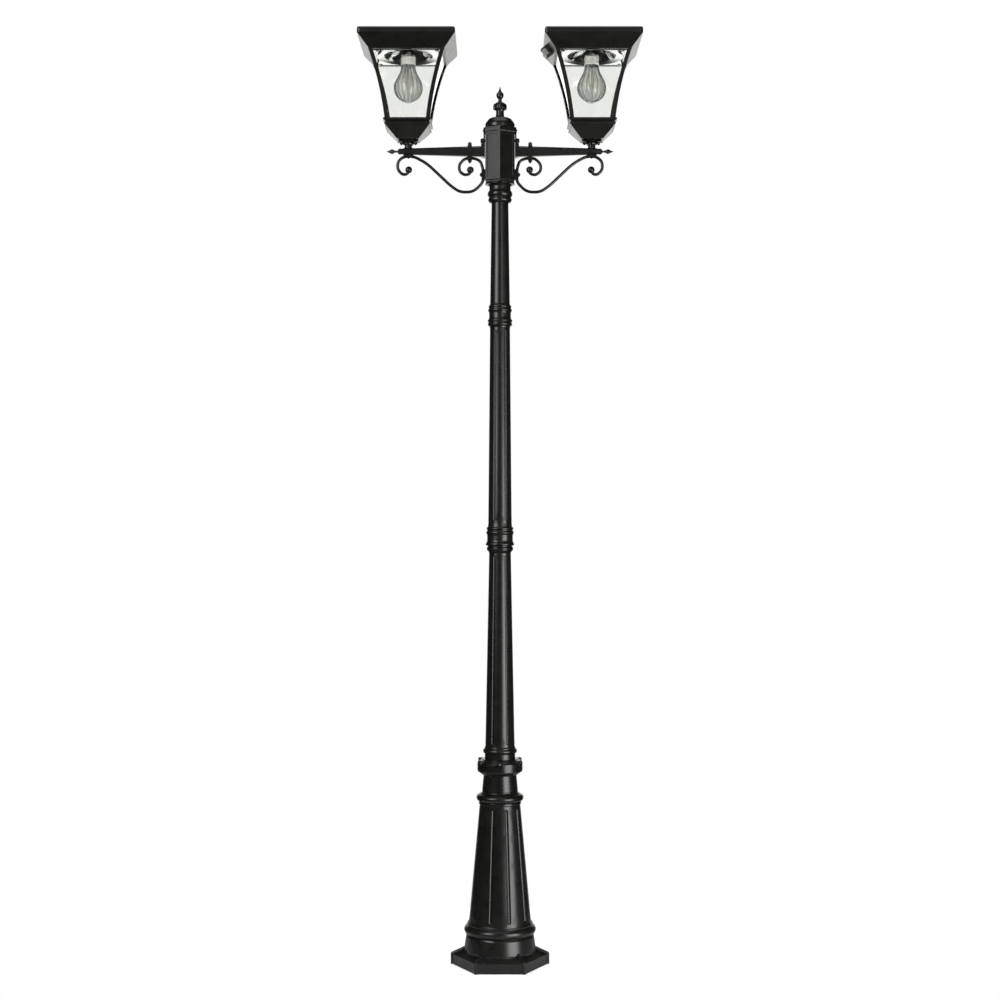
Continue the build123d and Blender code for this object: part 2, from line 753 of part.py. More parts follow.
def make_stem_nut():
    """Washer and nut inside the hopper, on the stem's upper thread."""
    hole = stem_bolt / 2 + thread_gap
    seat = hopper_bottom + hopper_wall + 0.3
    nut = turned([(11, seat), (11, seat + 1.6)]) + Pos(0, 0, seat + 1.6) * extrude(RegularPolygon(9.4, 6), 7)
    return Pos(arm_reach, 0, 0) * (nut - turned([(hole, seat), (hole, seat + 9)]))


# ---------------------------------------------------------------- lantern, built on the Z axis
def flare(inset):
    """Square solid whose sides follow the lantern's hollow curve, moved in by an inset."""
    foot, head = cage_foot / 2 - inset, cage_head / 2 - inset
    middle = (foot + head) / 2 - cage_hollow
    level = (cage_bottom + cage_top) / 2
    return [(foot, cage_bottom), (head, cage_top, middle, level)]


def curtain(inset):
    """Slab across the lantern, along Y, between the curved sides at an inset."""
    half = outline_face(flare(inset))
    slab = extrude(half, cage_head, both=True)
    return slab + Rot(0, 0, 180) * slab


def make_petal_cup():
    """Two tiers of petals under the hopper."""
    radius = cup_across / 2
    bore = stem_pin / 2 + swivel_gap
    low = shoulder - cup_drop
    body = turned([
        (radius - 13.5, low + 1),
        (radius - 8, low + 2, radius - 10, low),
        (radius - 7, shoulder, radius - 6, low + 3.5),
        (radius - 1.5, shoulder + 0.5),
        (radius, shoulder + 2.5, radius, shoulder + 1),
        (radius - 4, hopper_bottom)])
    notch = rod((radius + 1.2, 0, low - 2), (radius + 1.2, 0, hopper_bottom + 1), 3.6)
    body = cut(body, ring(notch, 8, 22.5))
    inner = rod((radius - 5.5, 0, low - 2), (radius - 5.5, 0, shoulder), 2.6)
    body = cut(body, ring(inner, 8, 0))
    body -= turned([(stem_across / 2 + 0.5, low - 1), (stem_across / 2 + 0.5, shoulder)])
    return body - turned([(bore, shoulder), (bore, hopper_bottom)])


def make_hopper():
    """Inverted pyramid under the lantern, open upwards, with a bore for the stem's pin."""
    foot, head = hopper_foot / 2, hopper_head / 2
    body = sided([
        (foot, hopper_bottom),
        (foot + 2, hopper_bottom + 2),
        (head - 2, frame_bottom - 3),
        (head - 2, frame_bottom - 1),
        (head, frame_bottom)])
    body -= sided([
        (foot - hopper_wall, hopper_bottom + hopper_wall),
        (head - 2 - hopper_wall * 1.3, frame_bottom - 2),
        (head - 2 - hopper_wall * 1.3, frame_bottom)])
    bore = stem_pin / 2 + swivel_gap
    return body - turned([(bore, hopper_bottom), (bore, hopper_bottom + hopper_wall)])


def make_cage():
    """Moulded bottom frame, four curved corner bars, and the ledge and lip for the roof."""
    half = frame_across / 2
    z = frame_bottom
    frame = sided([
        (half - 3.8, z),
        (half - 3, z + 1.5),
        (half - 3, z + 5.5),
        (half - 5, z + 7.5, half - 4.8, z + 6),
        (half, z + 10, half - 3.4, z + 9.6),
        (half, z + 14.5),
        (half - 1.5, cage_bottom)])
    opening = frame_opening / 2
    frame -= sided([(opening, z), (opening, cage_bottom)])
    bars = sided(flare(0)) - sided(flare(cage_wall))
    slab = curtain(cage_bar)
    bars = bars - slab - Rot(0, 0, 90) * slab
    ledge = cage_head / 2
    lip = ledge - lip_inset
    opening = lip - lip_wall
    top = sided([(ledge, cage_top - ledge_height), (ledge, cage_top), (lip, cage_top),
                 (lip, cage_top + lip_height)])
    top -= sided([(opening, cage_top - ledge_height), (opening, cage_top + lip_height)])
    return frame + bars + top


def make_panes():
    """Four clear panes, bent to the curve of the corner bars."""
    outer = cage_wall + glass_gap
    inner = outer + glass_thick
    across = curtain(inner + 0.8)
    skin = Rot(0, 0, 90) * (curtain(outer) - curtain(inner))
    reach = cage_head
    room = box((-reach, -reach, cage_bottom), (reach, 0, cage_top - ledge_height))
    pane = skin & across & room
    return join(ring(pane, 4))


def roof_face(level):
    """Half width of the roof's sloping side at a height."""
    share = (level - cage_top) / roof_taper
    return (cage_head + (roof_across - cage_head) * share) / 2


def roof_screw_place():
    """Height and side offset of the two screws that lock the roof on the cage."""
    return cage_top + lip_height * 0.6, boss_offset - 15


def make_roof():
    """Wide hollow roof: sloping sides, an upright rim, a pocket for the panel and four bosses."""
    foot, half = cage_head / 2, roof_across / 2
    body = sided([
        (foot, cage_top),
        (half, rim_bottom),
        (half, roof_top - roof_round),
        (half - roof_round, roof_top, half - roof_round * 0.29, roof_top - roof_round * 0.29)])
    body &= Pos(0, 0, cage_top) * extrude(RectangleRounded(roof_across, roof_across, roof_round), 99)
    pocket = extrude(RectangleRounded(panel_across + 1, panel_across + 1, 3), panel_thick + 1)
    body -= Pos(0, 0, panel_floor) * pocket
    opening = foot - lip_inset + lid_gap
    side = roof_wall * 1.2
    body -= sided([
        (opening, cage_top),
        (opening, seat_top),
        (roof_face(seat_top) - side, seat_top),
        (roof_face(rim_bottom) - side, rim_bottom),
        (roof_face(rim_bottom) - side, ceiling)])
    boss_low = plate_level + reflector_thick
    for x in (-boss_offset, boss_offset):
        for y in (-boss_offset, boss_offset):
            boss = rod((x, y, boss_low), (x, y, ceiling), boss_radius)
            boss -= rod((x, y, boss_low - 1), (x, y, boss_low + 14), 1.5 + thread_gap)
            body += boss
    level, offset = roof_screw_place()
    for x in (-offset, offset):
        body -= rod((x, opening - 4, level), (x, half, level), 1.5 + thread_gap)
    body -= switch_frame() * rod((0, 0, -14), (0, 0, 2), 6 + slip_gap)
    return body


def make_roof_screws():
    """Four reflector screws from below, and two set screws that lock the roof on the lip."""
    plate = plate_level
    screws = []
    for x in (-boss_offset, boss_offset):
        for y in (-boss_offset, boss_offset):
            head = Pos(x, y, plate - 2.4) * turned([(2.6, 0), (4, 1.2), (4, 2.4)])
            shank = rod((x, y, plate), (x, y, plate + reflector_thick + 10), 1.5)
            screws.append(head + shank)
    level, offset = roof_screw_place()
    lip = cage_head / 2 - lip_inset
    for x in (-offset, offset):
        screws.append(rod((x, lip + lid_gap, level), (x, roof_face(level) - 0.6, level), 1.5))
    return join(screws)


def make_panel():
    """Solar panel that fills the pocket in the roof's top."""
    sheet = extrude(RectangleRounded(panel_across, panel_across, 2.5), panel_thick)
    return Pos(0, 0, panel_floor) * sheet


def make_reflector():
    """Metallised plate with a stepped round dish and a deep bowl."""
    plate = plate_level
    half = cage_head / 2 - lip_inset - lip_wall - 0.5
    dish, bowl = reflector_dish / 2, reflector_bowl / 2
    thick = reflector_thick
    neck = bulb_neck / 2 + 1.8
    rise = reflector_rise
    inside = [(dish, plate), (bowl, plate + 3), (bowl - 2.5, plate + 6),
              (neck + 6, plate + rise - 2, bowl - 19, plate + rise - 10), (neck, plate + rise)]
    outside = [(dish + thick, plate), (dish + thick, plate + thick), (bowl + thick, plate + 3 + thick),
               (bowl - 1, plate + 7 + thick),
               (neck + 7, plate + rise - 1.5 + thick, bowl - 17.5, plate + rise - 9 + thick),
               (neck, plate + rise + thick)]
    body = sided([(half, plate), (half, plate + thick)])
    body += turned(outside)
    body -= turned(inside)
    body -= turned([(neck, plate + rise - 2), (neck, plate + rise + 4)])
    for x in (-boss_offset, boss_offset):
        for y in (-boss_offset, boss_offset):
            body -= rod((x, y, plate - 1), (x, y, plate + thick + 1), 1.5 + thread_gap)
    return body


def collar_top():
    """Height where the bulb's collar ends and its screw cap begins."""
    return cage_top


def make_socket():
    """Lamp socket that hangs from the roof's ceiling."""
    low = collar_top() + 2
    bore = bulb_cap / 2 + 0.3
    body = turned([(bore + 2.6, low), (bore + 2.6, ceiling - 4), (bore + 5, ceiling - 4), (bore + 5, ceiling)])
    body -= turned([(bore, low), (bore, collar_top() + bulb_cap_length + 1)])
    return body


def bulb_outline(offset):
    """Bulb's glass from its lowest point to its neck, moved in by an offset."""
    neck_end = collar_top() - bulb_collar
    low = neck_end - bulb_length
    belly = bulb_across / 2
    neck = bulb_neck / 2
    middle = low + belly + 1
    return [
        (0, low + offset),
        (belly - offset, middle, (belly - offset) * 0.71, low + offset + (belly - offset) * 0.3),
        (belly - 8.2 - offset, middle + 23, belly - 2.4 - offset, middle + 12),
        (neck - offset, neck_end - 6, neck + 2.4 - offset, middle + 37),
        (neck - offset, neck_end)]


def make_bulb_glass():
    """Thin glass envelope."""
    return turned(bulb_outline(0)) - turned(bulb_outline(bulb_wall))


def make_bulb_base():
    """Plastic collar with the screw cap above it."""
    top = collar_top()
    neck = bulb_neck / 2
    cap = bulb_cap / 2
    outline = [
        (neck, top - bulb_collar),
        (neck + 0.3, top - 6),
        (cap + 1, top, neck, top - 1.6),
        (cap - 0.8, top)]
    turns = 5
    pitch = (bulb_cap_length - 6) / turns
    for index in range(turns):
        level = top + pitch * index
        outline.append((cap - 0.8, level + pitch, cap, level + pitch / 2))
    outline += [(cap - 5, top + bulb_cap_length - 2), (4, top + bulb_cap_length)]
    return turned(outline)


def make_led_core():
    """Glass stem inside the bulb with four upright LED filaments."""
    top = collar_top() - bulb_collar
    low = top - 62
    body = turned([(2.2, low), (2.6, low + 4), (2.6, top - 16), (11, top, 6, top - 3)])
    filament = rod((9, 0, low + 6), (9, 0, low + 44), 1.1)
    filament += rod((0, 0, low + 6), (9, 0, low + 6), 0.7)
    filament += rod((0, 0, low + 44), (9, 0, low + 44), 0.7)
    for copy in ring(filament, 4, 45):
        body += copy
    return body


def make_battery():
    """Rechargeable cell that lies above the reflector."""
    level = plate_level + 4 + reflector_thick + battery_across / 2 + 0.6
    side = cage_head / 2 - lip_inset - lip_wall - battery_across / 2 - 0.5
    half = battery_length / 2
    return rod((-half, side, level), (half, side, level), battery_across / 2)


def make_board():
    """Charge control board, fixed to the roof's ceiling."""
    return box((-30, -86, ceiling - 8), (30, -64, ceiling))


def switch_frame():
    """Frame on the roof's -X slope: Z points out of the slope, X points up it."""
    level = cage_top + roof_taper * 0.53
    run = (roof_across - cage_head) / 2
    outward = Vector(-roof_taper, 0, -run)
    up_slope = Vector(-run, 0, roof_taper)
    plane = Plane(origin=(-roof_face(level), 0, level), x_dir=up_slope, z_dir=outward)
    return plane.location


def make_switch_housing():
    """Base plate with a cheek above and below the button, and a spigot through the roof."""
    tall, wide, proud = switch_tall / 2, switch_wide / 2, switch_proud
    body = box((-tall, -wide, 0), (tall, wide, 3))
    for side in (-1, 1):
        cheek = box((tall - 2.6, -wide + 1, 3), (tall, wide - 1, proud))
        body += Rot(0, 0, 0 if side > 0 else 180) * cheek
    body += rod((0, 0, -10), (0, 0, 0), 6)
    body -= rod((0, 0, -12), (0, 0, 4), 3)
    return switch_frame() * body


def make_switch_button():
    """Grey block between the cheeks, on a stem that slides in the spigot."""
    tall, wide = switch_tall / 2 - 3.1, switch_wide / 2 - 1.5
    cap = box((-tall, -wide, 3 + switch_travel + 0.5), (tall, wide, switch_proud - 0.8))
    cap = fillet(cap.edges().filter_by(Axis.Z), 2)
    cap += rod((0, 0, -6), (0, 0, 3 + switch_travel + 1), 3 - 0.05)
    return switch_frame() * cap


# ---------------------------------------------------------------- assembly
scroll = make_scroll()
nodes["base_plinth"] = make_plinth()
nodes["fluted_pedestal"] = make_pedestal()
nodes["lock_ring"] = make_lock_ring()
nodes["lock_ring_screws"] = make_lock_screws()
nodes["lower_pole"] = make_lower_pole()
nodes["lower_coupling"] = make_lower_coupling()
nodes["middle_pole"] = make_pole(middle_pole_foot, middle_pole_head, middle_bottom, middle_top, True)
nodes["upper_coupling"] = make_upper_coupling()
nodes["top_pole"] = make_pole(top_pole_foot, top_pole_head, top_bottom, top_top, False)
nodes["joint_sleeves"] = make_sleeves()
nodes["hub_collar"] = make_collar()
nodes["hub"] = make_hub(scroll)
nodes["hub_cap"] = make_hub_cap()
nodes["finial"] = make_finial()
nodes["bracket_bolts"] = make_bracket_bolts()

arm_side = {
    "arm": make_arm(scroll),
    "scroll": scroll,
    "bracket": make_bracket(),
    "band_clamp": make_band(),
    "stem": make_stem(),
    "stem_nut": make_stem_nut(),
}
lantern = {
    "petal_cup": make_petal_cup(),
    "hopper": make_hopper(),
    "cage": make_cage(),
    "panes": make_panes(),
    "roof": make_roof(),
    "roof_screws": make_roof_screws(),
    "solar_panel": make_panel(),
    "reflector": make_reflector(),
    "socket": make_socket(),
    "bulb_glass": make_bulb_glass(),
    "bulb_base": make_bulb_base(),
    "led_core": make_led_core(),
    "battery": make_battery(),
    "control_board": make_board(),
    "switch_housing": make_switch_housing(),
    "switch_button": make_switch_button(),
}
# The right lantern's switch faces the post; the left lantern is turned so its switch is behind.
lantern_place = {"right": Pos(arm_reach, 0, 0), "left": Pos(-arm_reach, 0, 0) * Rot(0, 0, -90)}
arm_place = {"right": Rot(0, 0, 0), "left": Rot(0, 0, 180)}
for side in ("left", "right"):
    for name, solid in arm_side.items():
        nodes[side + "_" + name] = arm_place[side] * solid
    for name, solid in lantern.items():
        nodes[side + "_" + name] = lantern_place[side] * solid

os.makedirs("parts", exist_ok=True)
for name, solid in nodes.items():
    export_step(solid, "parts/" + name + ".step")
    print(name, len(solid.solids()), round(solid.volume))
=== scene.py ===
import math

import bmesh
import bpy
from mathutils import Matrix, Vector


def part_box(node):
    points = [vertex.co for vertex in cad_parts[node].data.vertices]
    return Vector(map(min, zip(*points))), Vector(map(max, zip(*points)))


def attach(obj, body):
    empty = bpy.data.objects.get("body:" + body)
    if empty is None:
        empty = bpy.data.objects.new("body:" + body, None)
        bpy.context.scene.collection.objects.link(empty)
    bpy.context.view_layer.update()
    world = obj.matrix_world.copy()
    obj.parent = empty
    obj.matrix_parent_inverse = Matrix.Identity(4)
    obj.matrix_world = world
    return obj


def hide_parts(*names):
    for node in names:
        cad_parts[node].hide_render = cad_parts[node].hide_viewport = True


# Solar street lamp post in black powder-coated cast aluminium, with a swivelling lantern on each arm.
# Metres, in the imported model's frame: the post stands on the origin and the arms run along X.

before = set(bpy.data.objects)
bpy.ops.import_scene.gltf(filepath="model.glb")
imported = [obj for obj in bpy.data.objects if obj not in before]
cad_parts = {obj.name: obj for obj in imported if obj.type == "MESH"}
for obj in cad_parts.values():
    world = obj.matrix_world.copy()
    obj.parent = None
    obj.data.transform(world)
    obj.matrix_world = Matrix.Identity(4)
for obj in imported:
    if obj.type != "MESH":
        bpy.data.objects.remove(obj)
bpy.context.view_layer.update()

MM = 0.001
SIDES = ("left", "right")


# ---------------------------------------------------------------- camera, floor and light
CAMERA_PLACE = (0.0, -4.236, 1.112)
CAMERA_LENS = 63.54
SENSOR = 36.0


def make_camera():
    """Level camera straight in front of the post, at half its height."""
    view = bpy.data.cameras.new("view")
    view.lens = CAMERA_LENS
    view.sensor_width = SENSOR
    camera = bpy.data.objects.new("view", view)
    camera.location = CAMERA_PLACE
    camera.rotation_euler = (math.radians(90), 0, 0)
    bpy.context.scene.collection.objects.link(camera)
    bpy.context.scene.camera = camera


def softbox(name, bearing, reach, middle, size, power):
    """Rectangular light that faces the post; bearing is in degrees from the camera's side towards +X."""
    lamp = bpy.data.lights.new(name, "AREA")
    lamp.shape = "RECTANGLE"
    lamp.size, lamp.size_y = size
    lamp.energy = power
    holder = bpy.data.objects.new(name, lamp)
    turn = math.radians(bearing)
    holder.location = (reach * math.sin(turn), -reach * math.cos(turn), middle)
    holder.rotation_euler = (math.radians(90), 0, turn)
    holder.visible_camera = False
    bpy.context.scene.collection.objects.link(holder)


def make_lights():
    """Tall softboxes: one high on the left, one low on the right, a narrow one and a weak one above."""
    softbox("left_softbox", -43, 2.6, 2.25, (1.3, 2.2), 54)
    softbox("right_softbox", 43, 2.6, 0.55, (1.6, 1.8), 66)
    softbox("right_strip", 23, 3.0, 2.5, (0.45, 2.0), 9)
    softbox("front_panel", 0, 2.6, 2.75, (0.9, 0.75), 0.6)
    softbox("top_softbox", 0, 0.0, 4.6, (2.4, 2.4), 25)
    bpy.data.objects["top_softbox"].rotation_euler = (0, 0, 0)


def make_world():
    """White studio whose glossy reflections are dark, except for the bright wall behind the post."""
    world = bpy.data.worlds.new("studio")
    bpy.context.scene.world = world
    world.use_nodes = True
    tree = world.node_tree
    tree.nodes.clear()
    place = add(tree, "ShaderNodeTexCoord")
    parts = add(tree, "ShaderNodeSeparateXYZ", links={"Vector": (place, "Generated")})
    wall = add(tree, "ShaderNodeMapRange", links={"Value": (parts, "Y")},
               sockets={"From Min": 0.86, "From Max": 0.98, "To Min": 0.02, "To Max": 1.9})
    reflected = add(tree, "ShaderNodeBackground", links={"Strength": (wall, "Result")},
                    sockets={"Color": srgb("fbfbf8")})
    white = add(tree, "ShaderNodeBackground", sockets={"Color": srgb("ffffff"), "Strength": 1.0})
    path = add(tree, "ShaderNodeLightPath")
    # Glossy depth counts mirror bounces, so what is seen straight through a pane stays white.
    mirrored = add(tree, "ShaderNodeMath", settings={"operation": "GREATER_THAN"}, sockets={1: 0.5},
                   links={0: (path, "Glossy Depth")})
    mix = add(tree, "ShaderNodeMixShader", links={
        0: (mirrored, 0), 1: (white, 0), 2: (reflected, 0)})
    add(tree, "ShaderNodeOutputWorld", links={"Surface": (mix, 0)})


def make_floor():
    """Plain pale floor."""
    bpy.ops.mesh.primitive_circle_add(vertices=96, radius=0.6, fill_type="NGON")
    floor = bpy.context.object
    floor.name = "floor"
    floor.data.materials.append(studio_floor())


# ---------------------------------------------------------------- node helpers
def srgb(code):
    """Linear colour of an sRGB hex code."""
    values = [int(code[place:place + 2], 16) / 255 for place in (0, 2, 4)]
    return [v / 12.92 if v <= 0.04045 else ((v + 0.055) / 1.055) ** 2.4 for v in values] + [1.0]


def add(tree, kind, settings=None, sockets=None, links=None):
    """Adds a node with its settings, its socket values and its incoming links."""
    node = tree.nodes.new(kind)
    for name, value in (settings or {}).items():
        setattr(node, name, value)
    for name, value in (sockets or {}).items():
        node.inputs[name].default_value = value
    for name, (source, output) in (links or {}).items():
        tree.links.new(source.outputs[output], node.inputs[name])
    return node


def start_material(name):
    """Empty node material with its Object coordinates."""
    material = bpy.data.materials.new(name)
    material.use_nodes = True
    tree = material.node_tree
    tree.nodes.clear()
    return material, tree, add(tree, "ShaderNodeTexCoord")


def end_material(tree, shader):
    """Joins the shader to the material's output."""
    add(tree, "ShaderNodeOutputMaterial", links={"Surface": (shader, 0)})


def pattern_scale(size_mm):
    """Texture scale whose features are about size_mm across."""
    return 1.0 / (size_mm * MM)


def noise(tree, place, size_mm, detail=2.0):
    """Noise whose features are about size_mm across."""
    return add(tree, "ShaderNodeTexNoise", sockets={"Scale": pattern_scale(size_mm), "Detail": detail},
               links={"Vector": (place, "Object")})


def two_tone(tree, source, output, low, high, start=0.35, end=0.65):
    """Colour that goes from one tone to another with a value."""
    ramp = add(tree, "ShaderNodeValToRGB", links={"Fac": (source, output)})
    ramp.color_ramp.elements[0].position = start
    ramp.color_ramp.elements[0].color = srgb(low)
    ramp.color_ramp.elements[1].position = end
    ramp.color_ramp.elements[1].color = srgb(high)
    return ramp


def spread(tree, source, output, low, high):
    """Value that a 0 to 1 pattern moves between low and high."""
    return add(tree, "ShaderNodeMapRange", links={"Value": (source, output)},
               sockets={"To Min": low, "To Max": high})


# ---------------------------------------------------------------- materials
def studio_floor():
    """Matt painted board: even and pale."""
    material, tree, place = start_material("pale_painted_board")
    grain = noise(tree, place, 400)
    tone = two_tone(tree, grain, "Fac", "fcfcfb", "ffffff")
    end_material(tree, add(tree, "ShaderNodeBsdfPrincipled", sockets={"Roughness": 0.9},
                           links={"Base Color": (tone, "Color")}))
    return material


def powder_coat():
    """Powder-coated cast aluminium: satin black with a fine orange peel over a slightly uneven casting."""
    material, tree, place = start_material("powder_coated_cast_aluminium")
    casting = noise(tree, place, 26, 3.0)
    peel = noise(tree, place, 1.6, 1.0)
    rounded = add(tree, "ShaderNodeBevel", settings={"samples": 4}, sockets={"Radius": 0.9 * MM})
    uneven = add(tree, "ShaderNodeBump", sockets={"Strength": 0.08, "Distance": 0.5 * MM},
                 links={"Height": (casting, "Fac"), "Normal": (rounded, "Normal")})
    skin = add(tree, "ShaderNodeBump", sockets={"Strength": 0.12, "Distance": 0.05 * MM},
               links={"Height": (peel, "Fac"), "Normal": (uneven, "Normal")})
    tone = two_tone(tree, casting, "Fac", "080807", "0d0d0b")
    sheen = spread(tree, casting, "Fac", 0.24, 0.33)
    end_material(tree, add(tree, "ShaderNodeBsdfPrincipled", sockets={"IOR": 1.5}, links={
        "Base Color": (tone, "Color"), "Roughness": (sheen, "Result"), "Normal": (skin, "Normal")}))
    return material


def zinc_steel():
    """Zinc-plated turned steel: cool grey metal with a faint mottle from the plating bath."""
    material, tree, place = start_material("zinc_plated_steel")
    bath = noise(tree, place, 3.0, 3.0)
    tone = two_tone(tree, bath, "Fac", "9b9fa3", "bfc2c4")
    sheen = spread(tree, bath, "Fac", 0.26, 0.42)
    end_material(tree, add(tree, "ShaderNodeBsdfPrincipled", sockets={"Metallic": 1.0}, links={
        "Base Color": (tone, "Color"), "Roughness": (sheen, "Result")}))
    return material


def pane_glass():
    """Clear float glass: faintly green, with a very slight waviness."""
    material, tree, place = start_material("clear_float_glass")
    wave = noise(tree, place, 60)
    bump = add(tree, "ShaderNodeBump", sockets={"Strength": 0.12, "Distance": 0.2 * MM},
               links={"Height": (wave, "Fac")})
    tone = two_tone(tree, wave, "Fac", "fafbf8", "fcfdfb")
    end_material(tree, add(tree, "ShaderNodeBsdfPrincipled", sockets={
        "Roughness": 0.0, "IOR": 1.5, "Transmission Weight": 1.0}, links={
        "Base Color": (tone, "Color"), "Normal": (bump, "Normal")}))
    return material


def metallised():
    """Vacuum-metallised moulding: a bright mirror with the moulding's soft ripple."""
    material, tree, place = start_material("vacuum_metallised_plastic")
    ripple = noise(tree, place, 22)
    bump = add(tree, "ShaderNodeBump", sockets={"Strength": 0.3, "Distance": 0.5 * MM},
               links={"Height": (ripple, "Fac")})
    sheen = spread(tree, ripple, "Fac", 0.08, 0.16)
    end_material(tree, add(tree, "ShaderNodeBsdfPrincipled", sockets={
        "Base Color": srgb("d9dbdb"), "Metallic": 1.0}, links={
        "Roughness": (sheen, "Result"), "Normal": (bump, "Normal")}))
    return material


def moulded(name, low, high, rough, grain_mm):
    """Moulded plastic: even colour, with the fine spark-eroded texture of its tool."""
    material, tree, place = start_material(name)
    grain = noise(tree, place, grain_mm)
    bump = add(tree, "ShaderNodeBump", sockets={"Strength": 0.2, "Distance": 0.05 * MM},
               links={"Height": (grain, "Fac")})
    tone = two_tone(tree, grain, "Fac", low, high)
    sheen = spread(tree, grain, "Fac", rough - 0.05, rough + 0.05)
    end_material(tree, add(tree, "ShaderNodeBsdfPrincipled", sockets={"IOR": 1.47}, links={
        "Base Color": (tone, "Color"), "Roughness": (sheen, "Result"), "Normal": (bump, "Normal")}))
    return material


def smoked_bulb(name, low, high, rough):
    """Blown polycarbonate: smoky grey, with flutes that are frosted and a little darker; the darker tint is
    painted shade along the grooves.
    """
    material, tree, place = start_material(name)
    haze = noise(tree, place, 14)
    tone = two_tone(tree, haze, "Fac", low, high)
    sheen = spread(tree, haze, "Fac", rough, rough + 0.08)
    end_material(tree, add(tree, "ShaderNodeBsdfPrincipled", sockets={
        "IOR": 1.45, "Transmission Weight": 0.9}, links={
        "Base Color": (tone, "Color"), "Roughness": (sheen, "Result")}))
    return material


def stem_glass():
    """Drawn glass of the lamp's stem: clear and smooth."""
    material, tree, place = start_material("drawn_stem_glass")
    streak = noise(tree, place, 9)
    sheen = spread(tree, streak, "Fac", 0.0, 0.04)
    end_material(tree, add(tree, "ShaderNodeBsdfPrincipled", sockets={
        "Base Color": srgb("fafafa"), "IOR": 1.5, "Transmission Weight": 1.0}, links={
        "Roughness": (sheen, "Result")}))
    return material


def collar_and_cap(level):
    """Moulded white collar up to a level, with the nickel-plated screw cap above it."""
    material, tree, place = start_material("white_pbt_collar_and_nickel_cap")
    parts = add(tree, "ShaderNodeSeparateXYZ", links={"Vector": (place, "Object")})
    above = add(tree, "ShaderNodeMath", settings={"operation": "GREATER_THAN"}, sockets={1: level},
                links={0: (parts, "Z")})
    grain = noise(tree, place, 1.2)
    white = two_tone(tree, grain, "Fac", "f0efea", "f7f6f2")
    nickel = two_tone(tree, grain, "Fac", "b9b3a8", "c8c2b6")
    tone = add(tree, "ShaderNodeMix", settings={"data_type": "RGBA"})
    tree.links.new(above.outputs[0], tone.inputs["Factor"])
    tree.links.new(white.outputs["Color"], tone.inputs[6])
    tree.links.new(nickel.outputs["Color"], tone.inputs[7])
    end_material(tree, add(tree, "ShaderNodeBsdfPrincipled", sockets={"Roughness": 0.3}, links={
        "Base Color": (tone, 2), "Metallic": (above, 0)}))
    return material


FINGER_PITCH = 1.8      # a guess, drawn coarser than such fingers usually are so that they show
BUSBAR_PITCH = 9.0      # a guess


def solar_cell():
    """Monocrystalline silicon under tempered glass: blue-black, with fine silver fingers and busbars."""
    material, tree, place = start_material("laminated_monocrystalline_silicon")
    parts = add(tree, "ShaderNodeSeparateXYZ", links={"Vector": (place, "Object")})
    lines = []
    for axis, pitch, share in (("X", FINGER_PITCH, 0.12), ("Y", BUSBAR_PITCH, 0.1)):
        steps = add(tree, "ShaderNodeMath", settings={"operation": "MULTIPLY"},
                    sockets={1: pattern_scale(pitch)}, links={0: (parts, axis)})
        wave = add(tree, "ShaderNodeMath", settings={"operation": "FRACT"}, links={0: (steps, 0)})
        lines.append(add(tree, "ShaderNodeMath", settings={"operation": "LESS_THAN"},
                         sockets={1: share}, links={0: (wave, 0)}))
    silver = add(tree, "ShaderNodeMath", settings={"operation": "MAXIMUM"},
                 links={0: (lines[0], 0), 1: (lines[1], 0)})
    grain = noise(tree, place, 12)
    silicon = two_tone(tree, grain, "Fac", "0b1226", "131d38")
    tone = add(tree, "ShaderNodeMix", settings={"data_type": "RGBA"}, sockets={7: srgb("9aa0a8")})
    tree.links.new(silver.outputs[0], tone.inputs["Factor"])
    tree.links.new(silicon.outputs["Color"], tone.inputs[6])
    end_material(tree, add(tree, "ShaderNodeBsdfPrincipled", sockets={
        "Roughness": 0.4, "Coat Weight": 1.0, "Coat Roughness": 0.04}, links={"Base Color": (tone, 2)}))
    return material


# ---------------------------------------------------------------- modelling helpers
LANTERN_TURN = {"right": 0.0, "left": math.radians(-90)}


def choose(piece):
    """Makes a piece the only one that is selected."""
    bpy.ops.object.select_all(action="DESELECT")
    piece.select_set(True)
    bpy.context.view_layer.objects.active = piece


def open_piece(piece, name=None):
    """Opens a piece in edit mode with nothing selected."""
    if bpy.context.mode != "OBJECT":
        bpy.ops.object.mode_set(mode="OBJECT")
    choose(piece)
    if name:
        piece.name = name
    bpy.ops.object.mode_set(mode="EDIT")
    bpy.ops.mesh.select_all(action="DESELECT")


def close_piece():
    """Makes all normals point outwards and leaves edit mode."""
    bpy.ops.mesh.select_all(action="SELECT")
    bpy.ops.mesh.remove_doubles(threshold=0.00001)
    bpy.ops.mesh.normals_make_consistent(inside=False)
    bpy.ops.object.mode_set(mode="OBJECT")


def pick(piece, kind, test):
    """Selects the vertices, edges or faces that pass a test."""
    bpy.ops.mesh.select_mode(type=kind)
    bpy.ops.mesh.select_all(action="DESELECT")
    shape = bmesh.from_edit_mesh(piece.data)
    items = {"VERT": shape.verts, "EDGE": shape.edges, "FACE": shape.faces}[kind]
    for item in items:
        if test(item):
            item.select_set(True)
    bmesh.update_edit_mesh(piece.data)


def finish_modifiers(piece, modifiers):
    """Adds modifiers in order and applies them."""
    choose(piece)
    for kind, settings in modifiers:
        modifier = piece.modifiers.new(kind.lower(), kind)
        for name, value in settings.items():
            setattr(modifier, name, value)
        bpy.ops.object.modifier_apply(modifier=modifier.name)


def smooth(piece, degrees=35):
    """Smooth shading, except across sharp edges."""
    choose(piece)
    bpy.ops.object.shade_smooth_by_angle(angle=math.radians(degrees))


